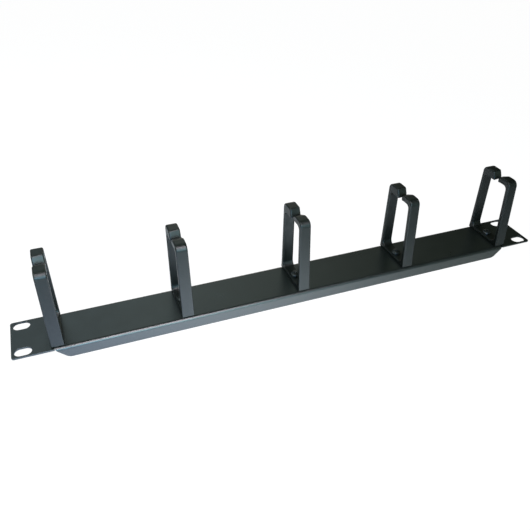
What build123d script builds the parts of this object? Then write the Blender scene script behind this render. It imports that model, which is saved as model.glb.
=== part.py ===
from build123d import *
import math
import os

# Rack cable management panel, one rack unit high, with five cable rings on its face.
# All sizes are in millimetres. The panel lies on its back: X runs along the panel, Y across it from
# the near edge to the far edge, and Z points up out of its face. The free edges of the two flanges
# lie at Z = 0, and the origin is in the middle between them.

# Panel: one folded steel sheet
panel_width = 482.6
panel_height = 44.0
sheet_thickness = 1.5
bend_inner_radius = 1.5
ear_corner_radius = 2.0

# Flanges: folded back along both long edges, with sloping ends. The inset is from the panel's end to
# the end of a flange's free edge, before its corner is rounded
flange_depth = 10.8
flange_end_inset = 40.9
flange_end_slope = 45.0
flange_corner_radius = 3.5

# Rack slots: one pair in each ear, with their middles this far in from the panel's end and long edge,
# which is 465.1 by 31.75 between them
slot_end_inset = 8.75
slot_edge_inset = 6.125
slot_length = 13.2
slot_height = 9.0

# Rings: how many, how far the end ones stand in from the panel's ends, and how far their middle lies
# off the panel's middle line
ring_count = 5
ring_end_inset = 34.3
ring_shift = 0.6

# Ring: width along the panel, which tapers upwards, and the panel's face left free at each side
ring_foot_width = 10.2
ring_top_width = 9.0
ring_side_margin = 1.0
ring_edge_radius = 1.0

# Ring base and legs: each leg leans inwards by its lean over its height, and the far one is the taller
base_thickness = 3.0
near_leg_height = 67.5
near_leg_thickness = 4.3
near_leg_lean = 3.4
far_leg_rise = 1.1
far_leg_thickness = 4.0
far_leg_lean = 1.4

# Ring arms: the near one is level up to a knee and then dips to a thin tip, and the far one is
# deeper and ends in a leaning face. The tip is skewed, so that the slit between them opens to one side.
near_arm_thickness = 5.8
near_arm_level = 11.5
near_arm_drop = 4.3
near_tip_thickness = 2.7
near_tip_skew = 5.4
far_arm_thickness = 8.1
far_arm_end_lean = 1.6
slit_width = 0.8
slit_shift = 3.6

# Ring corners, as seen from the side
foot_radius = 1.5
base_inner_radius = 5.0
arm_inner_radius = 3.5
near_top_radius = 5.5
near_knee_radius = 6.0
far_top_radius = 5.0
far_end_radius = 3.0

# Fasteners: M4 pan head screw with a cross recess, plain washer and hexagon nut
screw_diameter = 4.0
screw_hole_clearance = 0.5
screw_end_chamfer = 0.5
screw_end_projection = 1.5
head_diameter = 8.0
head_height = 3.1
head_crown_radius = 6.5
head_edge_radius = 0.8
recess_span = 4.4
recess_width = 1.0
recess_depth = 2.0
recess_taper = 10.0
washer_diameter = 9.0
washer_hole_clearance = 0.3
washer_thickness = 0.8
nut_across_flats = 7.0
nut_sides = 6
nut_height = 3.2
nut_chamfer_angle = 30.0
thread_clearance = 0.05
fastener_turn = 24.0

# Sizes, heights and places that follow from these
slot_spacing_x = panel_width - 2 * slot_end_inset
slot_spacing_y = panel_height - 2 * slot_edge_inset
flange_edge_length = panel_width - 2 * flange_end_inset
ring_pitch = (panel_width - 2 * ring_end_inset) / (ring_count - 1)
ring_depth = panel_height - 2 * ring_side_margin
far_leg_height = near_leg_height + far_leg_rise
face_z = flange_depth
back_z = face_z - sheet_thickness
base_top_z = face_z + base_thickness
washer_bottom_z = back_z - washer_thickness
nut_bottom_z = washer_bottom_z - nut_height
screw_end_z = nut_bottom_z - screw_end_projection
screw_hole_radius = (screw_diameter + screw_hole_clearance) / 2
ring_places_x = [(index - (ring_count - 1) / 2) * ring_pitch for index in range(ring_count)]
flange_slope_run = (flange_depth - sheet_thickness) / math.tan(math.radians(flange_end_slope))
ear_inner_x = flange_edge_length / 2 + flange_slope_run


def folded_panel():
    """The flat face with its ears, both flanges, the rack slots and the rings' screw holes."""
    inner_height = panel_height - 2 * sheet_thickness
    ear_length = panel_width / 2 - ear_inner_x
    ear_middle_x = (panel_width / 2 + ear_inner_x) / 2
    with BuildPart() as panel:
        # Channel section: the outer outline less the inner one, with both bends rounded
        with BuildSketch(Plane.YZ):
            with BuildLine():
                FilletPolyline(
                    (-panel_height / 2, 0),
                    (-panel_height / 2, face_z),
                    (panel_height / 2, face_z),
                    (panel_height / 2, 0),
                    radius=bend_inner_radius + sheet_thickness,
                )
                Line((panel_height / 2, 0), (-panel_height / 2, 0))
            make_face()
            with BuildLine(mode=Mode.PRIVATE) as inside:
                FilletPolyline(
                    (-inner_height / 2, 0),
                    (-inner_height / 2, back_z),
                    (inner_height / 2, back_z),
                    (inner_height / 2, 0),
                    radius=bend_inner_radius,
                )
                Line((inner_height / 2, 0), (-inner_height / 2, 0))
            make_face(inside.edges(), mode=Mode.SUBTRACT)
        extrude(amount=ear_inner_x, both=True)

        # Sloping flange ends, seen from the front
        with BuildSketch(Plane.XZ) as flange_outline:
            Polygon(
                (-ear_inner_x, face_z),
                (-ear_inner_x, back_z),
                (-flange_edge_length / 2, 0),
                (flange_edge_length / 2, 0),
                (ear_inner_x, back_z),
                (ear_inner_x, face_z),
                align=None,
            )
            free_corners = flange_outline.vertices().group_by(Axis.Y)[0]
            fillet(free_corners, flange_corner_radius)
        extrude(amount=panel_height, both=True, mode=Mode.INTERSECT)

        # Flat ears
        with BuildSketch(Plane.XY.offset(back_z)) as ears:
            with Locations((-ear_middle_x, 0), (ear_middle_x, 0)):
                Rectangle(ear_length, panel_height)
            outer_corners = ears.vertices().group_by(Axis.X)[0] + ears.vertices().group_by(Axis.X)[-1]
            fillet(outer_corners, ear_corner_radius)
        extrude(amount=sheet_thickness)

        # Rack slots and screw holes
        with BuildSketch(Plane.XY.offset(back_z)):
            with GridLocations(slot_spacing_x, slot_spacing_y, 2, 2):
                SlotOverall(slot_length, slot_height)
            with Locations(*[(x, ring_shift) for x in ring_places_x]):
                Circle(screw_hole_radius)
        extrude(amount=sheet_thickness, mode=Mode.SUBTRACT)
    return panel


def cable_ring(middle_x):
    """One moulded ring: base, two legs, and two arms with a skewed slit between them."""
    # Side view: Y across the panel, and heights above the panel's face
    near_foot_y = ring_shift - ring_depth / 2
    far_foot_y = ring_shift + ring_depth / 2
    near_slope = near_leg_lean / near_leg_height
    far_slope = far_leg_lean / far_leg_height
    near_underside = near_leg_height - near_arm_thickness
    far_underside = far_leg_height - far_arm_thickness
    near_inner_foot_y = near_foot_y + near_leg_thickness
    far_inner_foot_y = far_foot_y - far_leg_thickness
    knee_y = near_foot_y + near_leg_lean + near_arm_level
    far_end_y = ring_shift + slit_shift
    near_tip_y = far_end_y - slit_width
    tip_height = near_leg_height - near_arm_drop
    corners = [
        (near_foot_y, 0, foot_radius),
        (far_foot_y, 0, foot_radius),
        (far_foot_y - far_leg_lean, far_leg_height, far_top_radius),
        (far_end_y + far_arm_end_lean, far_leg_height, far_end_radius),
        (far_end_y, far_underside, 0),
        (far_inner_foot_y - far_slope * far_underside, far_underside, arm_inner_radius),
        (far_inner_foot_y - far_slope * base_thickness, base_thickness, base_inner_radius),
        (near_inner_foot_y + near_slope * base_thickness, base_thickness, base_inner_radius),
        (near_inner_foot_y + near_slope * near_underside, near_underside, arm_inner_radius),
        (knee_y, near_underside, near_knee_radius),
        (near_tip_y, tip_height - near_tip_thickness, 0),
        (near_tip_y, tip_height, 0),
        (knee_y, near_leg_height, near_knee_radius),
        (near_foot_y + near_leg_lean, near_leg_height, near_top_radius),
    ]
    points = [(y, face_z + height) for y, height, _ in corners]
    radii = [radius for _, _, radius in corners]

    # Front view: the ring narrows evenly from its foot to its top
    top_z = face_z + max(near_leg_height, far_leg_height)
    taper_outline = [
        (middle_x - ring_foot_width / 2, face_z),
        (middle_x + ring_foot_width / 2, face_z),
        (middle_x + ring_top_width / 2, top_z),
        (middle_x - ring_top_width / 2, top_z),
    ]
    with BuildPart() as ring:
        with BuildSketch(Plane.YZ.offset(middle_x)):
            with BuildLine():
                FilletPolyline(*points, radius=radii, close=True)
            make_face()
        extrude(amount=ring_foot_width / 2, both=True)
        with BuildSketch(Plane.XZ):
            Polygon(*taper_outline, align=None)
        extrude(amount=ring_depth + abs(ring_shift), both=True, mode=Mode.INTERSECT)
        side_faces = ring.faces().sort_by(Axis.X)[0:1] + ring.faces().sort_by(Axis.X)[-1:]
        fillet(side_faces.edges(), ring_edge_radius)

        # The near arm's tip is cut askew: full length on the right and shorter on the left
        half_width = ring_foot_width / 2
        with BuildSketch(Plane.XY.offset(face_z + far_underside - near_arm_thickness)):
            Polygon(
                (middle_x - half_width, near_tip_y - near_tip_skew),
                (middle_x + half_width, near_tip_y),
                (middle_x - half_width, near_tip_y),
                align=None,
            )
        extrude(amount=far_arm_thickness + near_arm_thickness, mode=Mode.SUBTRACT)

        # Screw hole through the base
        with BuildSketch(Plane.XY.offset(face_z)):
            with Locations((middle_x, ring_shift)):
                Circle(screw_hole_radius)
        extrude(amount=base_thickness, mode=Mode.SUBTRACT)
    return ring


def pan_head_screw():
    """One screw on the Z axis, with its head's underside at Z = 0 and its shank pointing down."""
    shank_radius = screw_diameter / 2
    shank_length = base_top_z - screw_end_z
    head_radius = head_diameter / 2
    crown_drop = head_crown_radius - math.sqrt(head_crown_radius**2 - head_radius**2)
    crown_middle = head_radius / 2
    crown_middle_drop = head_crown_radius - math.sqrt(head_crown_radius**2 - crown_middle**2)
    with BuildPart() as screw:
        with BuildSketch(Plane.XZ) as half_section:
            with BuildLine():
                Polyline(
                    (0, head_height),
                    (0, -shank_length),
                    (shank_radius - screw_end_chamfer, -shank_length),
                    (shank_radius, -shank_length + screw_end_chamfer),
                    (shank_radius, 0),
                    (head_radius, 0),
                    (head_radius, head_height - crown_drop),
                )
                ThreePointArc(
                    (head_radius, head_height - crown_drop),
                    (crown_middle, head_height - crown_middle_drop),
                    (0, head_height),
                )
            make_face()
            crown_corner = half_section.vertices().sort_by_distance((head_radius, head_height - crown_drop))[0]
            fillet(crown_corner, head_edge_radius)
        revolve(axis=Axis.Z)

        # Cross recess, narrowing downwards
        with BuildSketch(Plane.XY.offset(head_height)):
            Rectangle(recess_span, recess_width)
            Rectangle(recess_width, recess_span)
        extrude(amount=-recess_depth, taper=recess_taper, mode=Mode.SUBTRACT)
    return screw


def plain_washer():
    """One washer on the Z axis, with its underside at Z = 0."""
    with BuildPart() as washer:
        with BuildSketch():
            Circle(washer_diameter / 2)
            Circle((screw_diameter + washer_hole_clearance) / 2, mode=Mode.SUBTRACT)
        extrude(amount=washer_thickness)
    return washer


def hexagon_nut():
    """One nut on the Z axis, with its underside at Z = 0 and both faces chamfered."""
    face_radius = nut_across_flats / 2
    corner_radius = face_radius / math.cos(math.pi / nut_sides)
    chamfer_height = (corner_radius - face_radius) * math.tan(math.radians(nut_chamfer_angle))
    with BuildPart() as nut:
        with BuildSketch():
            RegularPolygon(face_radius, nut_sides, major_radius=False)
            Circle(screw_diameter / 2 + thread_clearance, mode=Mode.SUBTRACT)
        extrude(amount=nut_height)
        with BuildSketch(Plane.XZ):
            Polygon(
                (0, 0),
                (face_radius, 0),
                (corner_radius, chamfer_height),
                (corner_radius, nut_height - chamfer_height),
                (face_radius, nut_height),
                (0, nut_height),
                align=None,
            )
        revolve(axis=Axis.Z, mode=Mode.INTERSECT)
    return nut


def one_per_ring(piece, height):
    """Copies of a fastener on every ring's screw axis, each turned a little further than the last."""
    places = [
        Location((x, ring_shift, height), (0, 0, index * fastener_turn))
        for index, x in enumerate(ring_places_x)
    ]
    with BuildPart() as copies:
        with Locations(*places):
            add(piece.part)
    return copies


# Each finished piece is labelled and written to a file of its own
pieces = {"panel": folded_panel()}
for number, ring_x in enumerate(ring_places_x, start=1):
    pieces[f"cable_ring_{number}"] = cable_ring(ring_x)
pieces["ring_screws"] = one_per_ring(pan_head_screw(), base_top_z)
pieces["ring_washers"] = one_per_ring(plain_washer(), washer_bottom_z)
pieces["ring_nuts"] = one_per_ring(hexagon_nut(), nut_bottom_z)

os.makedirs("parts", exist_ok=True)
for name, piece in pieces.items():
    piece.part.label = name
    export_step(piece.part, f"parts/{name}.step")
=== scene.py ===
"""Rack cable management panel: a folded steel face with slotted ears, and five split plastic rings on it.

Every shape is worked out as numpy arrays in millimetres, in the frame of the solids: X along the panel,
Y from its near edge to its far edge, Z out of its face. Finished meshes are written in metres.
"""
import logging
import math
from dataclasses import dataclass, field
from enum import Enum
from functools import partial, reduce

import bpy
import numpy as np
from mathutils import Matrix, Vector
from mathutils.geometry import delaunay_2d_cdt


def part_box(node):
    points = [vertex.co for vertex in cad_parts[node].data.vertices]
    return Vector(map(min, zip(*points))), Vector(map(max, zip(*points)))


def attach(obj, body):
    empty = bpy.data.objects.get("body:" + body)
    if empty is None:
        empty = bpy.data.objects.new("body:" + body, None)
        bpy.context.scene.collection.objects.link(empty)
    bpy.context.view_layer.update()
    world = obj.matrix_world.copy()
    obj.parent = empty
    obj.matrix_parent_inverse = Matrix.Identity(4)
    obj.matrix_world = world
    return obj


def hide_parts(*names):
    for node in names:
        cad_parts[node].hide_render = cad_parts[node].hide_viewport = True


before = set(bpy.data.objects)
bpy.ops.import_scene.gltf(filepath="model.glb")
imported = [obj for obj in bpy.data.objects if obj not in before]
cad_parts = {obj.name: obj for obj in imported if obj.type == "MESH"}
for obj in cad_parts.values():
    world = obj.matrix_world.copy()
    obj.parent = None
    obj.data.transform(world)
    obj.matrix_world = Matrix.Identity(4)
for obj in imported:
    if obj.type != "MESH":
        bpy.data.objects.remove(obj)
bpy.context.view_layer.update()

MM = 0.001
RING_COUNT = 5
Array = np.ndarray
Pair = tuple[float, float]
Triple = tuple[float, float, float]
Socket = bpy.types.NodeSocket
Inputs = dict[str | int, object]
log = logging.getLogger("panel")


# Small geometry


def arc(middle: Pair, radius: float, first: float, last: float, steps: int) -> Array:
    """Points on a circle: middle + radius (cos a, sin a), with a going evenly from first to last.

    Args:
        middle: The circle's middle.
        radius: The circle's radius.
        first: The first point's angle, in degrees.
        last: The last point's angle, in degrees.
        steps: How many points.

    Returns:
        The points, one row each.
    """
    angle = np.radians(np.linspace(first, last, steps))
    return np.array(middle) + radius * np.column_stack([np.cos(angle), np.sin(angle)])


def rounded_outline(corners: Array, radii: Array, arc_steps: int, run_steps: int) -> Array:
    """A closed outline with its corners rounded.

    With u and v the unit vectors from a corner to its neighbours and h half the angle between them, the
    arc touches the sides at r / tan h from the corner and its middle lies r / sin h along u + v. The
    arc turns from a, its first spoke, to b, its last: middle + (a sin((1 - s) t) + b sin(s t)) / sin t,
    where t = pi - 2 h is the arc's turn and s goes from 0 to 1. Even points fill the run to the next arc.

    Args:
        corners: The corners in order, one row each.
        radii: Each corner's radius, above 0.
        arc_steps: Points on each arc, its ends included.
        run_steps: Points between one arc and the next.

    Returns:
        The outline's points in order, one row each.
    """
    to_last = np.roll(corners, 1, 0) - corners
    to_next = np.roll(corners, -1, 0) - corners
    u = to_last / np.linalg.norm(to_last, axis=1, keepdims=True)
    v = to_next / np.linalg.norm(to_next, axis=1, keepdims=True)
    half = 0.5 * np.arccos(np.clip((u * v).sum(1), -1, 1))[:, None]
    reach = radii[:, None] / np.tan(half)
    bisector = (u + v) / np.linalg.norm(u + v, axis=1, keepdims=True)
    middle = corners + bisector * radii[:, None] / np.sin(half)
    first, last = corners + u * reach, corners + v * reach
    turn = (math.pi - 2 * half)[:, None, :]
    s = np.linspace(0, 1, arc_steps)[None, :, None]
    a, b = (first - middle)[:, None, :], (last - middle)[:, None, :]
    spokes = a * np.sin((1 - s) * turn) + b * np.sin(s * turn)
    arcs = middle[:, None, :] + spokes / np.sin(turn)
    k = (np.arange(1, run_steps + 1) / (run_steps + 1))[None, :, None]
    runs = last[:, None, :] * (1 - k) + np.roll(first, -1, 0)[:, None, :] * k
    return np.concatenate([arcs, runs], axis=1).reshape(-1, 2)


def inset(loop: Array, distance: Array) -> Array:
    """A closed loop moved towards its left by each distance.

    A point moves along the sum of its two edges' left normals n1 and n2, by d (n1 + n2) / (1 + n1 . n2),
    so that both edges move by exactly d.

    Args:
        loop: The loop's points, one row each, with the solid on the left of the way round.
        distance: The distances, one for each copy of the loop, or a row of them for each point.

    Returns:
        An array of point, copy and coordinate.
    """
    edge = np.roll(loop, -1, 0) - loop
    edge /= np.linalg.norm(edge, axis=1, keepdims=True)
    after = np.column_stack([-edge[:, 1], edge[:, 0]])
    before = np.roll(after, 1, 0)
    move = (before + after) / (1 + (before * after).sum(1, keepdims=True))
    return loop[:, None, :] + move[:, None, :] * distance[..., None]


def edge_rounding(radius: float, steps: int) -> tuple[Array, Array]:
    """A quarter circle over an edge, from the wall's face to the solid's side.

    At angle a the surface lies r (1 - cos a) inside the outline and r (1 - sin a) short of the side.

    Args:
        radius: The edge's radius r.
        steps: Points on the quarter circle, its ends included.

    Returns:
        How far each point lies inside the outline, and how far short of the side.
    """
    a = np.linspace(0, math.pi / 2, steps)
    return radius * (1 - np.cos(a)), radius * (1 - np.sin(a))


def hole_loop(middle: Pair, length: float, height: float) -> Array:
    """A slot, or a round hole where its length is its height, with the solid on the left of the way.

    Args:
        middle: The hole's middle.
        length: Its length in the first direction.
        height: Its height in the second direction.

    Returns:
        The hole's points, one row each.
    """
    (x, y), run, radius, end_steps = middle, (length - height) / 2, height / 2, 25
    left = arc((x - run, y), radius, 270, 90, end_steps)
    right = arc((x + run, y), radius, 90, -90, end_steps)
    return np.concatenate([left, right] if run else [left, right[1:-1]])


def plate_rim(loop: Array, thickness: float, radius: float, steps: int) -> tuple[Array, Array]:
    """A loop's wall through a plate: rounded, straight, and rounded again.

    Args:
        loop: The loop's points, with the plate on the left of the way round.
        thickness: How thick the plate is.
        radius: The radius of both edges.
        steps: Points on each edge's quarter circle.

    Returns:
        Points x, y and depth, in an array of loop point and wall point, and the quads between them.
    """
    inside, short = edge_rounding(radius, steps)
    wall = inset(loop, np.concatenate([inside[::-1], inside]))
    depths = np.concatenate([short[::-1], thickness - short])
    depth = np.broadcast_to(depths[None, :, None], (*wall.shape[:2], 1))
    return np.concatenate([wall, depth], -1), grid_quads(*wall.shape[:2], close_rows=True)[:, ::-1]


def faces_between(loops: list[Array], rows: Array | None = None) -> Array:
    """Triangles that fill a flat outline around its holes, by a constrained Delaunay triangulation.

    Every hole's loop is convex, so a triangle with all its corners on one of them would fill that hole.
    Such triangles aren't kept.

    Args:
        loops: The outline and then the holes, each with one row for each point.
        rows: Further edges that the triangles keep to, as pairs of point numbers.

    Returns:
        Three point numbers for each triangle, anticlockwise, counted through the loops in order.
    """
    sizes = np.array([len(loop) for loop in loops])
    starts = np.cumsum(sizes) - sizes
    edges = [
        np.column_stack([np.arange(n), (np.arange(n) + 1) % n]) + first for n, first in zip(sizes, starts)]
    edges += [] if rows is None else [rows]
    points = np.concatenate(loops)
    inside_only, weld_distance = 1, 1e-7
    found = delaunay_2d_cdt(
        [Vector(p) for p in points.tolist()], np.concatenate(edges).tolist(), [], inside_only, weld_distance)
    triangles = np.array([source[0] for source in found[3]])[np.array(found[2])]
    loop_of = np.repeat(np.arange(len(loops)), sizes)[triangles]
    kept = triangles[(loop_of != loop_of[:, :1]).any(1) | (loop_of[:, 0] == 0)]
    a, b, c = np.moveaxis(points[kept], 1, 0)
    area = (b[:, 0] - a[:, 0]) * (c[:, 1] - a[:, 1]) - (b[:, 1] - a[:, 1]) * (c[:, 0] - a[:, 0])
    return np.where((area < 0)[:, None], kept[:, ::-1], kept)


def grid_quads(rows: int, columns: int, close_rows: bool = False, close_columns: bool = False) -> Array:
    """The quads of a grid of points that is numbered row by row: point (i, j) has the number i columns + j.

    Args:
        rows: How many rows.
        columns: How many columns.
        close_rows: Whether the last row joins the first.
        close_columns: Whether the last column joins the first.

    Returns:
        Four point numbers for each quad.
    """
    i = np.arange(rows if close_rows else rows - 1)[:, None]
    j = np.arange(columns if close_columns else columns - 1)[None, :]
    below, beside = (i + 1) % rows, (j + 1) % columns
    quads = [i * columns + j, below * columns + j, below * columns + beside, i * columns + beside]
    return np.stack(quads, -1).reshape(-1, 4)


def placed(name: str, data: bpy.types.ID) -> bpy.types.Object:
    """Puts new data into the scene.

    Args:
        name: The object's name.
        data: Its mesh, lamp or camera.

    Returns:
        The object.
    """
    piece = bpy.data.objects.new(name, data)
    bpy.context.scene.collection.objects.link(piece)
    return piece


@dataclass
class Shell:
    """A closed surface gathered from grids and flat faces, in millimetres."""

    points: Array = field(default_factory=lambda: np.zeros((0, 3)))
    faces: list[Array] = field(default_factory=list)

    def add(self, points: Array, *faces: Array) -> int:
        """Adds points and the faces between them.

        Args:
            points: The points, in an array whose last side is x, y, z.
            *faces: Arrays of point numbers, one row for each face, counted from the first new point.

        Returns:
            The number of the first new point.
        """
        first = len(self.points)
        self.points = np.concatenate([self.points, points.reshape(-1, 3)])
        self.faces += [array + first for array in faces]
        return first

    def repeated(self, turns: Array, places: Array) -> "Shell":
        """Copies of this shell, each turned about Z and then moved.

        Args:
            turns: Each copy's turn, in degrees.
            places: Each copy's place, one row each.

        Returns:
            One shell with all the copies.
        """
        c, s = np.cos(np.radians(turns)), np.sin(np.radians(turns))
        x, y, z = self.points.T
        along, across = np.outer(c, x) - np.outer(s, y), np.outer(s, x) + np.outer(c, y)
        turned = np.stack([along, across, np.tile(z, (len(c), 1))], -1)
        count = len(self.points)
        shift = (np.arange(len(c)) * count)[:, None, None]
        copies = [(array[None] + shift).reshape(-1, array.shape[1]) for array in self.faces]
        return Shell((turned + places[:, None, :]).reshape(-1, 3), copies)

    def normals(self) -> Array:
        """Each point's normal: the sum of its faces' area vectors, 1/2 sum of p(k) x p(k+1), made unit long.

        A wide flat face outweighs the narrow ones of a rounded edge, so it stays flat in the shading.

        Returns:
            The unit normals, one row for each point.
        """
        total = np.zeros_like(self.points)
        for array in self.faces:
            corner = self.points[array]
            area = 0.5 * np.cross(corner, np.roll(corner, -1, 1)).sum(1)
            np.add.at(total, array, area[:, None, :])
        return total / np.maximum(np.linalg.norm(total, axis=1, keepdims=True), 1e-12)

    def build(self, name: str, finish: "Finish", *nodes: str) -> None:
        """Writes the shell as a smooth mesh that stands for solids of the frame.

        Args:
            name: The new piece's name.
            finish: The finish that it gets.
            *nodes: The solids that it stands for.
        """
        mesh = bpy.data.meshes.new(name)
        mesh.from_pydata((self.points * MM).tolist(), [], [f for array in self.faces for f in array.tolist()])
        mesh.polygons.foreach_set("use_smooth", np.ones(len(mesh.polygons), bool))
        mesh.materials.append(finish.material())
        mesh.normals_split_custom_set_from_vertices(self.normals().tolist())
        piece = placed(name, mesh)
        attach(piece, "root")
        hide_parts(*nodes)
        log.info("%s: %d points, %d faces", name, len(mesh.vertices), len(mesh.polygons))


# Finishes

NOISE_LOW, NOISE_HIGH = 0.3, 0.7  # The middle of a noise's values
CLOUD_DETAIL = 3.0
GLOSS_FINENESS = 7.3  # Times finer than the cloud
GLOSS_DETAIL = 4.0
GLOSS_OCTAVES = 0.6
RELIEF_DETAIL = 2.0
REFRACTION = 1.55


class Graph:
    """A material's or the world's node tree, filled from its first inputs to its output."""

    def __init__(self, owner: bpy.types.Material | bpy.types.World) -> None:
        """Takes the owner's tree and empties it."""
        owner.use_nodes = True
        self.tree = owner.node_tree
        self.tree.nodes.clear()

    def add(self, kind: str, inputs: Inputs | None = None, **settings: object) -> bpy.types.Node:
        """Adds a node, sets it and joins its inputs.

        Args:
            kind: The node's type.
            inputs: Values or other nodes' output sockets, by input name or number.
            **settings: The node's own properties.

        Returns:
            The new node.
        """
        node = self.tree.nodes.new(kind)
        for key, value in settings.items():
            setattr(node, key, value)
        for key, value in (inputs or {}).items():
            if isinstance(value, Socket):
                self.tree.links.new(value, node.inputs[key])
            else:
                node.inputs[key].default_value = value
        return node

    def vector(self, operation: str, first: object, second: object, output: str = "Vector") -> Socket:
        """Adds a vector calculation.

        Args:
            operation: What it does.
            first: The first vector, or the socket that gives it.
            second: The second.
            output: Which of its outputs is wanted.

        Returns:
            That output.
        """
        return self.add("ShaderNodeVectorMath", {0: first, 1: second}, operation=operation).outputs[output]

    def scaled(self, colour: Triple, power: Socket) -> Socket:
        """A colour times e to a power.

        Args:
            colour: The colour.
            power: The power.

        Returns:
            The product.
        """
        share = self.add("ShaderNodeMath", {0: power}, operation="EXPONENT").outputs[0]
        return self.add("ShaderNodeVectorMath", {0: colour, "Scale": share}, operation="SCALE").outputs[0]

    def seen(self) -> Socket:
        """Where the camera looks, straight or through something clear.

        Returns:
            1 for such a ray, and 0 for any other.
        """
        path = self.add("ShaderNodeLightPath")
        both = {0: path.outputs["Is Camera Ray"], 1: path.outputs["Is Transmission Ray"]}
        return self.add("ShaderNodeMath", both, operation="MAXIMUM").outputs[0]

    def noise(self, scale: float, detail: float, roughness: float = 0.5) -> Socket:
        """Noise in the piece's own space.

        Args:
            scale: Noise cells per metre.
            detail: Octaves.
            roughness: How strong the finer octaves are.

        Returns:
            The noise's value, about 0.5 on average.
        """
        place = self.add("ShaderNodeTexCoord").outputs["Object"]
        inputs = {"Vector": place, "Scale": scale, "Detail": detail, "Roughness": roughness}
        return self.add("ShaderNodeTexNoise", inputs).outputs["Fac"]

    def spread(self, value: Socket, low: float, high: float) -> Socket:
        """Stretches the middle of a noise's values over a range.

        Args:
            value: The noise.
            low: What NOISE_LOW becomes.
            high: What NOISE_HIGH becomes.

        Returns:
            The mapped value.
        """
        inputs = {
            "Value": value, "From Min": NOISE_LOW, "From Max": NOISE_HIGH, "To Min": low, "To Max": high}
        return self.add("ShaderNodeMapRange", inputs).outputs["Result"]


@dataclass(frozen=True)
class Finish:
    """A surface finish: two shades mixed by a soft cloud, a wavering gloss, and two sizes of relief.

    Attributes:
        name: The material's name.
        slot: The record's material slot. It isn't used.
        shade: The main colour.
        cloud_shade: The colour that it drifts to.
        cloud_scale: Cloud cells per metre.
        roughness: The lowest and the highest roughness.
        metallic: 0 for paint and plastic, 1 for bare metal.
        specular: The specular level of a surface that isn't metal.
        relief: Cells per metre and height in metres, for each size of relief.
    """

    name: str
    slot: str
    shade: Triple
    cloud_shade: Triple
    cloud_scale: float
    roughness: Pair
    metallic: float
    specular: float
    relief: tuple[Pair, ...]

    def material(self) -> bpy.types.Material:
        """The finish as a material, made once and then shared.

        Returns:
            The material.
        """
        found = bpy.data.materials.get(self.name)
        if found:
            return found
        made = bpy.data.materials.new(self.name)
        graph = Graph(made)
        cloud = graph.spread(graph.noise(self.cloud_scale, CLOUD_DETAIL), 0.0, 1.0)
        shades = {6: (*self.shade, 1.0), 7: (*self.cloud_shade, 1.0), 0: cloud}
        colour = graph.add("ShaderNodeMix", shades, data_type="RGBA")
        waver = graph.noise(self.cloud_scale * GLOSS_FINENESS, GLOSS_DETAIL, GLOSS_OCTAVES)
        gloss = graph.spread(waver, *self.roughness)
        normal = None
        for scale, height in self.relief:
            inputs = {"Height": graph.noise(scale, RELIEF_DETAIL), "Distance": height}
            if normal:
                inputs["Normal"] = normal
            normal = graph.add("ShaderNodeBump", inputs).outputs["Normal"]
        shader = graph.add("ShaderNodeBsdfPrincipled", {
            "Base Color": colour.outputs[2], "Roughness": gloss, "Metallic": self.metallic,
            "Specular IOR Level": self.specular, "IOR": REFRACTION, "Normal": normal})
        graph.add("ShaderNodeOutputMaterial", {"Surface": shader.outputs["BSDF"]})
        return made


POWDER_COAT = Finish(
    "satin_powder_coat", "panel", (0.0074, 0.0104, 0.0084), (0.0092, 0.0124, 0.0103), 9.0,
    (0.27, 0.35), 0.0, 1.0, ((900.0, 0.00006), (2600.0, 0.00002)))
MOULDED_PLASTIC = Finish(
    "moulded_plastic", "rings", (0.0063, 0.0088, 0.0066), (0.0081, 0.0108, 0.0083), 25.0,
    (0.33, 0.43), 0.0, 0.55, ((1500.0, 0.00003), (4200.0, 0.000015)))
BLACK_ZINC = Finish(
    "black_zinc", "screws", (0.11, 0.12, 0.12), (0.16, 0.17, 0.165), 260.0, (0.38, 0.48), 1.0, 0.5,
    ((3000.0, 0.00001), (9000.0, 0.000004)))
BRIGHT_ZINC = Finish(
    "bright_zinc", "hidden_hardware", (0.50, 0.52, 0.55), (0.60, 0.60, 0.56), 180.0, (0.24, 0.42), 1.0, 0.5,
    ((2500.0, 0.00001), (8000.0, 0.000005)))


# The folded panel


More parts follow.
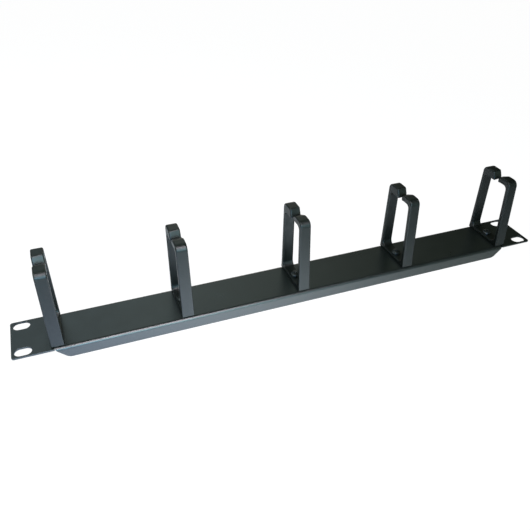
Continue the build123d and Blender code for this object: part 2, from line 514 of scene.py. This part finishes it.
@dataclass
class FoldedPanel:
    """One folded steel sheet with slotted ears, in millimetres.

    The sheet is drawn flat first: x along it and s across it, measured over the bends, with a depth
    below its front. A thin relief cut parts each flange from the ears. The fold then carries every point
    into place.
    """

    hole_places: Array
    width: float = 482.6
    height: float = 44.0
    thickness: float = 1.5
    bend_radius: float = 1.5
    flange_depth: float = 10.8
    flange_edge: float = 400.8
    flange_corner: float = 7.0
    ear_corner: float = 2.0
    relief_width: float = 0.15
    relief_corner: float = 0.2
    slot_spacing: Pair = (465.1, 31.75)
    slot_size: Pair = (13.2, 9.0)
    hole_diameter: float = 4.5
    edge_radius: float = 0.18
    edge_steps: int = 5
    bend_steps: int = 12
    corner_steps: int = 9
    relief_steps: int = 5

    def __post_init__(self) -> None:
        """Works out where the bends begin and how long they are."""
        self.outer_radius = self.bend_radius + self.thickness
        self.bend_start = self.height / 2 - self.outer_radius
        self.bend_length = math.pi / 2 * (self.bend_radius + self.thickness / 2)
        self.bend_middle_z = self.flange_depth - self.outer_radius
        self.sheet_edge = self.bend_start + self.bend_length + self.bend_middle_z
        self.ear_inner = self.flange_edge / 2 + self.flange_depth - self.thickness

    def fold(self, flat: Array) -> Array:
        """Carries points of the flat sheet into the folded panel.

        With a = (|s| - bend start) / bend length, held between 0 and 1, times 90 degrees, and q = outer
        radius - depth: y = bend start + q sin a and z = bend middle + q cos a, less what runs on past
        the bend.

        Args:
            flat: The points as x, s and depth, in an array whose last side these are.

        Returns:
            The points as x, y and z.
        """
        x, s, depth = np.moveaxis(flat, -1, 0)
        folded = np.abs(x) <= self.ear_inner + self.relief_width / 2
        past = np.where(folded, np.abs(s) - self.bend_start, 0.0)
        angle = np.clip(past / self.bend_length, 0, 1) * math.pi / 2
        level = np.where(folded, np.minimum(np.abs(s), self.bend_start), np.abs(s))
        reach = self.outer_radius - depth
        y = np.sign(s) * (level + reach * np.sin(angle))
        z = self.bend_middle_z + reach * np.cos(angle) - np.maximum(past - self.bend_length, 0)
        return np.stack([x, y, z], -1)

    def quarter(self) -> Array:
        """The outline's quarter with x and s above 0, from the ear's end to the flange's free edge.

        Returns:
            The quarter's points as x and s.
        """
        half_x, half_y, steps = self.width / 2, self.height / 2, self.corner_steps
        cut, corner = self.relief_width / 2, self.relief_corner
        s = np.linspace(self.bend_start + cut, self.bend_start + self.bend_length, self.bend_steps)[1:]
        angle = (s - self.bend_start) / self.bend_length * math.pi / 2
        middle_z = self.bend_middle_z + (self.bend_radius + self.thickness / 2) * np.cos(angle)
        free_corner = self.flange_edge / 2 - self.flange_corner * math.tan(math.pi / 8)
        return np.concatenate([
            arc((half_x - self.ear_corner, half_y - self.ear_corner), self.ear_corner, 0, 90, steps),
            arc((self.ear_inner + 2 * cut + corner, half_y - corner), corner, 90, 180, self.relief_steps),
            arc((self.ear_inner + cut, self.bend_start + cut), cut, 0, -180, steps),
            np.column_stack([np.minimum(self.ear_inner, self.flange_edge / 2 + middle_z), s]),
            arc((free_corner, self.sheet_edge - self.flange_corner), self.flange_corner, 45, 90, steps),
        ])

    def build(self) -> None:
        """Makes the panel: a rounded rim round each loop, and both faces of the sheet between them."""
        quarter = self.quarter()
        count = len(quarter)
        mirror = np.array([-1, 1])
        outline = np.concatenate([quarter, (quarter * mirror)[::-1], -quarter, (quarter * -mirror)[::-1]])
        across, along = self.slot_spacing[1] / 2, self.slot_spacing[0] / 2
        slots = [hole_loop((x, y), *self.slot_size) for x in (-along, along) for y in (-across, across)]
        holes = [hole_loop(place, self.hole_diameter, self.hole_diameter) for place in self.hole_places]

        columns = 2 * self.edge_steps
        shell, front, rings = Shell(), [], []
        for loop in (outline, *slots, *holes):
            rim, quads = plate_rim(loop, self.thickness, self.edge_radius, self.edge_steps)
            first = shell.add(self.fold(rim), quads)
            front.append(rim[:, 0, :2])
            rings.append(first + np.arange(len(loop)) * columns)

        # Both faces. Rows of edges run along the bends: one at the innermost point of the relief cuts,
        # the rest from the end of their arcs to the start of the free corners
        numbers = np.concatenate(rings)
        half_corner = self.corner_steps // 2
        cut_middle = self.corner_steps + self.relief_steps + half_corner
        cut_end = 2 * self.corner_steps + self.relief_steps - 1
        bend_rows = np.append(cut_middle, np.arange(cut_end, cut_end + self.bend_steps + half_corner))
        rows = np.concatenate([
            np.column_stack([bend_rows, 2 * count - 1 - bend_rows]),
            np.column_stack([2 * count + bend_rows, 4 * count - 1 - bend_rows])])
        triangles = faces_between(front, rows)
        shell.faces += [numbers[triangles], (numbers + columns - 1)[triangles][:, ::-1]]
        shell.build("folded_panel", POWDER_COAT, "panel")


# The cable rings


@dataclass
class CableRing:
    """One moulded ring, in millimetres: a base, two leaning legs, and two arms with a skewed slit between.

    The corner radii start at the near foot and go anticlockwise, as seen from the right. The base's top
    starts at corner base_top_corner, counted from 0.
    """

    number: int
    middle_x: float
    face_z: float = 10.8
    shift: float = 0.6
    depth: float = 42.0
    foot_width: float = 10.2
    top_width: float = 9.5
    edge_radius: float = 1.2
    foot_edge_radius: float = 0.4
    base_thickness: float = 3.0
    near_height: float = 67.5
    near_thickness: float = 4.3
    near_lean: float = 3.4
    far_height: float = 68.6
    far_thickness: float = 4.0
    far_lean: float = 1.4
    near_arm: float = 5.8
    near_level: float = 11.5
    near_drop: float = 4.3
    tip_thickness: float = 2.7
    tip_skew: float = 5.4
    far_arm: float = 8.1
    far_upright: float = 1.9
    far_end_lean: float = 1.8
    far_reach: float = 1.5
    far_draw: float = 1.2
    far_run: float = 8.0
    slit: float = 0.8
    slit_shift: float = 3.6
    corner_radii: tuple[float, ...] = (
        1.5, 1.5, 5.0, 1.4, 2.0, 1.24, 3.5, 5.0, 5.0, 3.5, 6.0, 1.24, 1.24, 6.0, 5.5)
    base_top_corner: int = 7
    hole_diameter: float = 4.5
    edge_steps: int = 7
    arc_steps: int = 13
    run_steps: int = 9

    def __post_init__(self) -> None:
        """Works out where the knee, the slit and the arms' ends are."""
        self.near_foot = self.shift - self.depth / 2
        self.far_foot = self.shift + self.depth / 2
        self.knee = self.near_foot + self.near_lean + self.near_level
        self.far_end = self.shift + self.slit_shift
        self.tip = self.far_end - self.slit
        self.tip_height = self.near_height - self.near_drop
        self.slit_middle = (self.tip + self.far_end) / 2
        self.arms_above = self.near_height - 2 * self.near_arm

    def side_view(self) -> Array:
        """The ring's outline from the side, as y and height over the face.

        Returns:
            The outline's points.
        """
        near_slope, far_slope = self.near_lean / self.near_height, self.far_lean / self.far_height
        near_under, far_under = self.near_height - self.near_arm, self.far_height - self.far_arm
        near_inside, far_inside = self.near_foot + self.near_thickness, self.far_foot - self.far_thickness
        corners = np.array([
            (self.near_foot, 0),
            (self.far_foot, 0),
            (self.far_foot - self.far_lean, self.far_height),
            (self.far_end + self.far_end_lean, self.far_height),
            (self.far_end, far_under + self.far_upright),
            (self.far_end, far_under),
            *((far_inside - far_slope * z, z) for z in (far_under, self.base_thickness)),
            *((near_inside + near_slope * z, z) for z in (self.base_thickness, near_under)),
            (self.knee, near_under),
            (self.tip, self.tip_height - self.tip_thickness),
            (self.tip, self.tip_height),
            (self.knee, self.near_height),
            (self.near_foot + self.near_lean, self.near_height),
        ])
        return rounded_outline(corners, np.array(self.corner_radii), self.arc_steps, self.run_steps)

    def skew_tip(self, x: Array, y: Array, z: Array) -> tuple[Array, Array]:
        """Draws the near arm's tip back towards the left, along the arm's own slope.

        With f = (y - knee) / (tip - knee) and g the skew's share at x, 0 on the right and 1 on the left, y
        moves back by f g skew, and z rises by the slope of the arm's line there, between its top's and its
        underside's.

        Args:
            x: How far right of the ring's middle.
            y: Across the panel.
            z: Height over the face.

        Returns:
            The new y and z.
        """
        reach = self.tip - self.knee
        in_arm = (y > self.knee) & (y < self.slit_middle) & (z > self.arms_above)
        along = np.where(in_arm, (y - self.knee) / reach, 0.0)
        back = along * self.tip_skew * (0.5 - x / self.foot_width)
        top = self.near_height - self.near_drop * along
        under_drop = self.near_drop + self.tip_thickness - self.near_arm
        under = self.near_height - self.near_arm - under_drop * along
        share = np.clip((z - under) / (top - under), 0, 1)
        slope = (share * self.near_drop + (1 - share) * under_drop) / reach
        return y - back, z + back * slope

    def skew_end(self, x: Array, y: Array, z: Array) -> Array:
        """Turns the far arm's end: it reaches further on its lower left and stays back on its upper right.

        With f = 1 at the end and 0 a run behind it, h the height's share of the arm, and g the share at x,
        0 on the left and 1 on the right, y changes by f (draw g h^2 - reach (1 - g) (1 - h)).

        Args:
            x: How far right of the ring's middle.
            y: Across the panel.
            z: Height over the face.

        Returns:
            The new y.
        """
        over = np.clip(z - self.far_height + self.far_arm, 0, self.far_arm)
        h = over / self.far_arm
        leaning = np.maximum(over - self.far_upright, 0) / (self.far_arm - self.far_upright)
        end = self.far_end + self.far_end_lean * leaning
        along = np.clip(1 - (y - end) / self.far_run, 0, 1)
        in_arm = (y > self.slit_middle) & (z > self.arms_above)
        g = 0.5 + x / self.foot_width
        change = self.far_draw * g * h**2 - self.far_reach * (1 - g) * (1 - h)
        return np.where(in_arm, y + along * change, y)

    def build(self) -> None:
        """Makes the ring: its outline carried over a rounded band, and closed by a flat face on each side.

        Half the width at a height is foot / 2 + (top - foot) / 2 times the height's share of the far leg.
        The edge's radius is the foot's at the face, and grows to its full size over the base's thickness.
        """
        outline = self.side_view()
        share = np.clip(outline[:, 1:] / self.base_thickness, 0, 1)
        radius = self.foot_edge_radius + (self.edge_radius - self.foot_edge_radius) * share
        inside, short = edge_rounding(1.0, self.edge_steps)
        insets = radius * np.concatenate([inside[::-1], inside])
        shorts = radius * np.concatenate([short[::-1], short])
        sides = np.repeat([-1.0, 1.0], self.edge_steps)
        band = inset(outline, insets)
        y, z = band[..., 0], band[..., 1]
        half_width = self.foot_width / 2 + (self.top_width - self.foot_width) / 2 * z / self.far_height
        x = sides * (half_width - shorts)
        y, z = self.skew_tip(x, y, z)
        y = self.skew_end(x, y, z)
        rows, columns = x.shape
        points = np.stack([x + self.middle_x, y, z + self.face_z], -1)
        number = np.arange(rows * columns).reshape(rows, columns)
        left, right = self.edge_steps - 1, self.edge_steps

        # The base's flat top and underside, left out of the band where the screw goes through
        corner_rows = self.arc_steps + self.run_steps
        under = np.arange(self.arc_steps - 1, corner_rows + 1)
        top = under + self.base_top_corner * corner_rows
        quads = grid_quads(rows, columns, close_rows=True)
        cut = np.isin(quads[:, 0], number[np.concatenate([under[:-1], top[:-1]]), left])
        shell = Shell()
        shell.add(points, quads[~cut], number[:, -1][None, :], number[::-1, 0][None, :])
        hole = hole_loop((self.middle_x, self.shift), self.hole_diameter, self.hole_diameter)
        wall, quads = plate_rim(hole, self.base_thickness, self.foot_edge_radius, self.edge_steps)
        wall[..., 2] = self.face_z + self.base_thickness - wall[..., 2]
        rim = shell.add(wall, quads) + np.arange(len(hole)) * columns
        for loop, ring, way in (
                (np.concatenate([number[top, left], number[top[::-1], right]]), rim, 1),
                (np.concatenate([number[under, right], number[under[::-1], left]]), rim + columns - 1, -1)):
            found = faces_between([shell.points[loop, :2], shell.points[ring, :2]])
            shell.faces.append(np.concatenate([loop, ring])[found][:, ::way])
        shell.build(f"moulded_ring_{self.number}", MOULDED_PLASTIC, f"cable_ring_{self.number}")


# Fasteners


def revolved(radius: Array, height: Array, closed: bool) -> Shell:
    """A surface turned about Z: (r cos a, r sin a, h), with r and h given for each profile row and angle a.

    Args:
        radius: r for each row and angle.
        height: h for each row and angle.
        closed: Whether the profile closes on itself. If not, a point on the axis closes each end.

    Returns:
        The surface as a shell.
    """
    rows, columns = radius.shape
    angle = np.arange(columns) * 2 * math.pi / columns
    points = np.stack([radius * np.cos(angle), radius * np.sin(angle), height], -1)
    if closed:
        quads = grid_quads(rows, columns, close_rows=True, close_columns=True)[:, ::-1]
        return Shell(points.reshape(-1, 3), [quads])
    ring = np.arange(columns)
    poles = np.array([[0, 0, height[0, 0]], [0, 0, height[-1, 0]]])
    start, end = rows * columns, rows * columns + 1
    last = (rows - 1) * columns
    return Shell(np.concatenate([points.reshape(-1, 3), poles]), [
        grid_quads(rows, columns, close_columns=True)[:, ::-1],
        np.column_stack([np.full(columns, start), (ring + 1) % columns, ring]),
        np.column_stack([np.full(columns, end), last + ring, last + (ring + 1) % columns])])


@dataclass
class RingFasteners:
    """The screws, washers and nuts that hold the rings, in millimetres, on the rings' screw axes."""

    places: Array
    seat_z: float = 13.8
    back_z: float = 9.3
    turn: float = 24.0
    diameter: float = 4.0
    pitch: float = 0.7
    thread_depth: float = 0.38
    thread_in_nut: float = 1.2
    thread_fade: float = 0.4
    tip_chamfer: float = 0.5
    projection: float = 1.5
    head_diameter: float = 8.0
    head_height: float = 3.1
    crown_radius: float = 6.5
    head_edge: float = 0.8
    head_edge_drop: float = 0.35
    head_edge_turn: float = 62.0
    head_under: float = 0.25
    head_wall: float = 0.9
    recess_span: float = 4.4
    recess_width: float = 1.0
    recess_depth: float = 2.0
    recess_wall: float = 0.12
    washer_diameter: float = 9.0
    washer_hole: float = 4.3
    washer_thickness: float = 0.8
    washer_radii: tuple[float, ...] = (0.08, 0.12, 0.25, 0.2)
    washer_columns: int = 72
    nut_flats: float = 7.0
    nut_height: float = 3.2
    bore: float = 4.1
    columns: int = 96
    edge_steps: int = 9
    crown_steps: int = 46
    thread_steps: int = 33

    def copies(self, shell: Shell, height: float) -> Shell:
        """One copy of a fastener for each ring, each turned a little further than the last.

        Args:
            shell: The fastener, with its underside at 0.
            height: Where its underside goes.

        Returns:
            All the copies.
        """
        count = len(self.places)
        places = np.column_stack([self.places, np.full(count, height)])
        return shell.repeated(np.arange(count) * self.turn, places)

    def screw(self) -> Shell:
        """One pan head screw, with its head's underside at 0.

        The crown is h = top - (R - sqrt(R^2 - r^2)), with a rounded edge. The thread takes from the radius
        its depth times a triangle wave of z / pitch - a / 360, cut flat for a sixth of the pitch at its
        crests and at its roots. The recess sinks where the smaller of |x| and |y| is under half its width,
        and grows shallower over the outer four fifths of its arms.

        Returns:
            The screw.
        """
        angle = np.arange(self.columns) * 2 * math.pi / self.columns
        end = self.back_z - self.washer_thickness - self.nut_height - self.projection - self.seat_z
        radius, head = self.diameter / 2, self.head_diameter / 2
        thread_top = end + self.projection + self.thread_in_nut
        rim = self.head_height - (self.crown_radius - math.sqrt(self.crown_radius**2 - head**2))
        edge_middle = (head - self.head_edge, rim - self.head_edge_drop)
        edge = arc(edge_middle, self.head_edge, 0, self.head_edge_turn, self.edge_steps)
        under = arc((head - self.head_under, self.head_under), self.head_under, 270, 360, 5)
        crown_r = np.linspace(edge[-1, 0], 0.04, self.crown_steps)[1:]
        crown_z = self.head_height - (self.crown_radius - np.sqrt(self.crown_radius**2 - crown_r**2))
        crown_z -= (crown_z[0] - edge[-1, 1]) * np.linspace(1, 0, len(crown_z)) ** 3
        thread_z = np.linspace(end, thread_top, self.thread_steps)
        shank_z = np.concatenate([thread_z, [thread_top + 0.3, -0.3, 0.0]])
        shank_r = np.minimum(radius, radius - self.tip_chamfer + (shank_z - end))

        # Up the thread and the shank, out along the head's underside, round its edges, in over the crown
        profile = np.concatenate([
            [(0.6, end)], np.column_stack([shank_r, shank_z]), [(radius + 0.6, 0.0)],
            under, [(head, self.head_wall)], edge, np.column_stack([crown_r, crown_z])])
        r, z = (np.repeat(profile[:, k:k + 1], self.columns, 1) for k in (0, 1))
        phase = (z / self.pitch - angle / (2 * math.pi)) % 1.0
        groove = self.thread_depth * np.clip(1.5 * (1 - np.abs(2 * phase - 1)) - 0.25, 0, 1)
        threaded = (z < thread_top + 0.1) & (r > radius - self.tip_chamfer - 0.01)
        fade = np.clip((thread_top - z) / self.thread_fade, 0, 1)
        r = np.where(threaded, np.minimum(r, radius - groove * fade), r)
        x, y = r * np.cos(angle), r * np.sin(angle)
        small, large = np.minimum(np.abs(x), np.abs(y)), np.maximum(np.abs(x), np.abs(y))
        wall = np.clip((self.recess_width / 2 - small) / self.recess_wall, 0, 1)
        floor = np.clip(1.25 * (1 - large / (self.recess_span / 2)), 0, 1)
        z = np.where(z > rim, z - self.recess_depth * wall * floor, z)
        return revolved(r, z, closed=False)

    def washer(self) -> Shell:
        """One plain washer, with its underside at 0: a rectangle with rounded corners, turned about Z.

        Returns:
            The washer.
        """
        hole, rim, top = self.washer_hole / 2, self.washer_diameter / 2, self.washer_thickness
        corners = np.array([(hole, 0.0), (rim, 0.0), (rim, top), (hole, top)])
        profile = rounded_outline(corners, np.array(self.washer_radii), 6, 1)
        r, z = (np.repeat(profile[:, k:k + 1], self.washer_columns, 1) for k in (0, 1))
        return revolved(r, z, closed=True)

    def nut(self) -> Shell:
        """One hexagon nut, with its underside at 0.

        The radius is the smaller of the turned profile's, whose edges slope at 30 degrees, and the
        hexagon's, which is half the flats' width over cos of the angle from the middle of the flat. The
        profile starts with the bore's countersink.

        Returns:
            The nut.
        """
        angle = np.arange(self.columns) * 2 * math.pi / self.columns
        flat, bore, top = self.nut_flats / 2, self.bore / 2, self.nut_height
        corner = flat / math.cos(math.pi / 6)
        slope = (corner - flat) * math.tan(math.pi / 6)
        lower = np.concatenate([
            [(bore, 0.45), (bore + 0.35, 0.08), (bore + 0.42, 0.02), (bore + 0.5, 0.0), (flat - 0.1, 0.0)],
            np.linspace((flat, 0.01), (corner, slope), self.edge_steps),
            [(corner, slope + 0.15), (corner, top / 2)]])
        upper = (lower * (1, -1) + (0, top))[::-1]
        profile = np.concatenate([lower, upper[1:]])
        hexagon = flat / np.cos((angle + math.pi / 6) % (math.pi / 3) - math.pi / 6)
        r = np.minimum(profile[:, :1], hexagon[None, :])
        return revolved(r, np.repeat(profile[:, 1:], self.columns, 1), closed=True)

    def build(self) -> None:
        """Makes the screws, the washers and the nuts, one piece for each kind."""
        washer_z = self.back_z - self.washer_thickness
        self.copies(self.screw(), self.seat_z).build("pan_head_screws", BLACK_ZINC, "ring_screws")
        self.copies(self.washer(), washer_z).build("plain_washers", BRIGHT_ZINC, "ring_washers")
        self.copies(self.nut(), washer_z - self.nut_height).build("hexagon_nuts", BRIGHT_ZINC, "ring_nuts")


# Studio


AIM = (-0.2, 0.0, 0.03)  # Where the soft boxes point, in metres
WHITE = (1.0, 1.0, 1.0, 1.0)


class Place(Enum):
    """Where each soft box stands, in metres."""

    FRONT_LEFT = (-0.5, -1.1, 0.3)
    FRONT = (0.0, -1.1, 0.3)
    UPPER_FRONT = (-0.1, -0.9, 0.6)
    HIGH_FRONT = (-0.08, -0.6, 0.95)
    UPPER_LEFT = (-0.7, -0.1, 0.8)


@dataclass(frozen=True)
class SoftBox:
    """A rectangular area lamp, turned towards the panel's left half.

    Attributes:
        place: Where it stands.
        size: Its width and height, in metres.
        power: Its power in red, green and blue, in watts.
        spread: How wide its light opens, in degrees.
    """

    place: Place
    size: Pair
    power: Triple
    spread: float = 180.0

    def build(self) -> None:
        """Makes the lamp."""
        lamp = bpy.data.lights.new(f"soft_box_{self.place.name.lower()}", "AREA")
        lamp.shape = "RECTANGLE"
        lamp.size, lamp.size_y = self.size
        lamp.energy = max(self.power)
        lamp.color = [part / lamp.energy for part in self.power]
        lamp.spread = math.radians(self.spread)
        place = Vector(self.place.value)
        turn = (place - Vector(AIM)).to_track_quat("Z", "Y")
        placed(lamp.name, lamp).matrix_world = Matrix.Translation(place) @ turn.to_matrix().to_4x4()


@dataclass(frozen=True)
class Glow:
    """A soft bright part of the surroundings.

    Attributes:
        azimuth: Its middle's direction, in degrees from the near side towards the right.
        elevation: Its middle's height, in degrees.
        sharpness: How fast it falls off.
        light: Its brightest colour.
    """

    azimuth: float
    elevation: float
    sharpness: float
    light: Triple

    def value(self, graph: Graph, direction: Socket) -> Socket:
        """The glow: light times exp(sharpness (c - 1)), with c the cosine of the angle from its middle.

        Args:
            graph: The world's graph.
            direction: The direction looked in, as a unit vector.

        Returns:
            The glow's value.
        """
        az, el = math.radians(self.azimuth), math.radians(self.elevation)
        middle = (math.sin(az) * math.cos(el), -math.cos(az) * math.cos(el), math.sin(el))
        cosine = graph.vector("DOT_PRODUCT", direction, middle, "Value")
        inputs = {0: cosine, 1: self.sharpness, 2: -self.sharpness}
        power = graph.add("ShaderNodeMath", inputs, operation="MULTIPLY_ADD")
        return graph.scaled(self.light, power.outputs[0])


@dataclass(frozen=True)
class Pool:
    """A bright pool of light on the floor, which only reflections show.

    Attributes:
        middle: Its middle on the floor, in metres.
        size: Its spread in each direction, in metres.
        light: Its brightest colour.
    """

    middle: Pair
    size: Pair
    light: Triple

    def value(self, graph: Graph, place: Socket) -> Socket:
        """The pool: light times exp(-d . d / 2), with d the way from its middle over its spread.

        Args:
            graph: The floor's graph.
            place: The place on the floor.

        Returns:
            The pool's value.
        """
        way = graph.vector("SUBTRACT", place, (*self.middle, 0.0))
        over = graph.vector("MULTIPLY", way, (1 / self.size[0], 1 / self.size[1], 0.0))
        square = graph.vector("DOT_PRODUCT", over, over, "Value")
        power = graph.add("ShaderNodeMath", {0: square, 1: -0.5}, operation="MULTIPLY")
        return graph.scaled(self.light, power.outputs[0])


SOFT_BOXES = (
    SoftBox(Place.FRONT, (0.6, 0.4), (0.24, 0.42, 0.44), 60.0),
    SoftBox(Place.UPPER_FRONT, (0.6, 0.4), (0.42, 0.54, 0.58), 60.0),
    SoftBox(Place.HIGH_FRONT, (0.5, 0.4), (0.54, 0.50, 0.55), 50.0),
    SoftBox(Place.FRONT_LEFT, (0.6, 0.4), (0.14, 0.32, 0.56), 60.0),
    SoftBox(Place.UPPER_LEFT, (0.4, 0.4), (2.4, 2.7, 2.65)),
)
GLOWS = (
    Glow(177.0, 42.0, 21.0, (0.42, 0.53, 0.54)),
    Glow(195.0, 42.0, 20.0, (0.05, 0.07, 0.17)),
    Glow(180.0, 52.0, 6.0, (0.10, 0.12, 0.07)),
    Glow(165.0, 4.0, 40.0, (1.60, 1.45, 1.25)),
    Glow(4.0, 60.0, 25.0, (0.60, 0.64, 0.72)),
    Glow(55.0, 12.0, 20.0, (0.36, 0.48, 0.38)),
)
POOLS = (
    Pool((-0.06, -0.06), (0.09, 0.045), (1.40, 1.62, 1.78)),
    Pool((-0.20, -0.06), (0.09, 0.045), (0.05, 0.08, 0.42)),
    Pool((-0.20, -0.03), (0.09, 0.012), (0.30, 0.46, 0.52)),
    Pool((0.10, -0.03), (0.09, 0.012), (0.07, 0.09, 0.06)),
    Pool((0.19, -0.026), (0.06, 0.008), (0.12, 0.14, 0.12)),
)


@dataclass(frozen=True)
class Studio:
    """The white floor and surroundings, the soft boxes, and the camera of the photograph.

    Attributes:
        eye: The camera's place, in millimetres.
        azimuth: How far right of straight across the panel it looks, in degrees.
        elevation: How far down it looks, in degrees.
        roll: How far it is turned about its own axis, in degrees.
        focal: Its focal length, in pixels of the picture.
        picture: The picture's width, in pixels.
        near_clip: The nearest that it sees, in metres.
        floor_level: The floor's height in metres, just under the flanges.
        floor_half: Half the floor's width, in metres.
        floor_paint: The floor's grey, for all but what the camera sees.
        floor_white: How much of the floor's white the camera sees whatever the light.
        floor_shade: How much of the floor's light and shadow the camera sees.
    """

    eye: Triple = (-176.2, -390.3, 326.0)
    azimuth: float = 20.649
    elevation: float = 35.181
    roll: float = 0.320
    focal: float = 590.5
    picture: float = 530.0
    near_clip: float = 0.01
    floor_level: float = -0.0002
    floor_half: float = 6.0
    floor_paint: float = 0.9
    floor_white: float = 0.97
    floor_shade: float = 0.12

    def camera(self) -> None:
        """Makes the camera from its place and its angles."""
        az, el, roll = (math.radians(v) for v in (self.azimuth, self.elevation, self.roll))
        ahead = Vector((math.sin(az) * math.cos(el), math.cos(az) * math.cos(el), -math.sin(el)))
        level = Vector((math.cos(az), -math.sin(az), 0.0))
        upright = level.cross(ahead)
        right = math.cos(roll) * level + math.sin(roll) * upright
        up = math.cos(roll) * upright - math.sin(roll) * level
        lens = bpy.data.cameras.new("photo_camera")
        lens.lens = self.focal / self.picture * lens.sensor_width
        lens.clip_start = self.near_clip
        camera = placed("photo_camera", lens)
        turned = Matrix((right, up, -ahead)).transposed().to_4x4()
        camera.matrix_world = Matrix.Translation(Vector(self.eye) * MM) @ turned
        bpy.context.scene.camera = camera

    def surroundings(self) -> None:
        """White where the camera sees them, straight or through glass, and the glows for all other light."""
        world = bpy.data.worlds.new("surroundings")
        graph = Graph(world)
        direction = graph.add("ShaderNodeTexCoord").outputs["Generated"]
        light = reduce(partial(graph.vector, "ADD"), [glow.value(graph, direction) for glow in GLOWS])
        soft = graph.add("ShaderNodeBackground", {"Color": light})
        white = graph.add("ShaderNodeBackground", {"Color": WHITE})
        mixed = graph.add("ShaderNodeMixShader", {0: graph.seen(), 1: soft.outputs[0], 2: white.outputs[0]})
        graph.add("ShaderNodeOutputWorld", {"Surface": mixed.outputs[0]})
        bpy.context.scene.world = world

    def floor(self) -> None:
        """A wide floor. The camera sees it white with a faint shadow, and gloss sees the pools on it."""
        half, level = self.floor_half, self.floor_level
        mesh = bpy.data.meshes.new("white_floor")
        corners = [(-half, -half, level), (half, -half, level), (half, half, level), (-half, half, level)]
        mesh.from_pydata(corners, [], [(0, 1, 2, 3)])
        finish = bpy.data.materials.new("white_floor")
        graph = Graph(finish)
        seen = graph.seen()
        inputs = {"Value": seen, "To Min": self.floor_paint, "To Max": self.floor_shade}
        grey = graph.add("ShaderNodeMapRange", inputs).outputs[0]
        paint = graph.add("ShaderNodeBsdfDiffuse", {"Color": grey})
        place = graph.add("ShaderNodeTexCoord").outputs["Object"]
        pools = reduce(partial(graph.vector, "ADD"), [pool.value(graph, place) for pool in POOLS])
        in_gloss = graph.add("ShaderNodeLightPath").outputs["Is Glossy Ray"]
        mirrored = graph.add("ShaderNodeEmission", {"Color": pools, "Strength": in_gloss})
        own = graph.add("ShaderNodeMath", {0: seen, 1: self.floor_white}, operation="MULTIPLY").outputs[0]
        white = graph.add("ShaderNodeEmission", {"Color": WHITE, "Strength": own})
        both = graph.add("ShaderNodeAddShader", {0: mirrored.outputs[0], 1: white.outputs[0]})
        mixed = graph.add("ShaderNodeAddShader", {0: paint.outputs[0], 1: both.outputs[0]})
        graph.add("ShaderNodeOutputMaterial", {"Surface": mixed.outputs[0]})
        mesh.materials.append(finish)
        placed("white_floor", mesh)

    def build(self) -> None:
        """Sets up the camera, the floor, the surroundings and the soft boxes."""
        self.camera()
        self.surroundings()
        self.floor()
        for box in SOFT_BOXES:
            box.build()
        bpy.context.scene.view_settings.view_transform = "Standard"


def main() -> None:
    """Builds the studio, the panel, its rings and their fasteners, in that order, each ring at its solid's
    middle.
    """
    logging.basicConfig(level=logging.INFO, format="%(name)s %(message)s")
    Studio().build()
    boxes = [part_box(f"cable_ring_{number}") for number in range(1, RING_COUNT + 1)]
    middles = np.array([(low.x + high.x) / 2 / MM for low, high in boxes])
    rings = [CableRing(number, float(x)) for number, x in enumerate(middles, start=1)]
    places = np.column_stack([middles, np.full(len(middles), rings[0].shift)])
    FoldedPanel(places).build()
    for ring in rings:
        ring.build()
    RingFasteners(places).build()


if __name__ == "__main__":
    main()
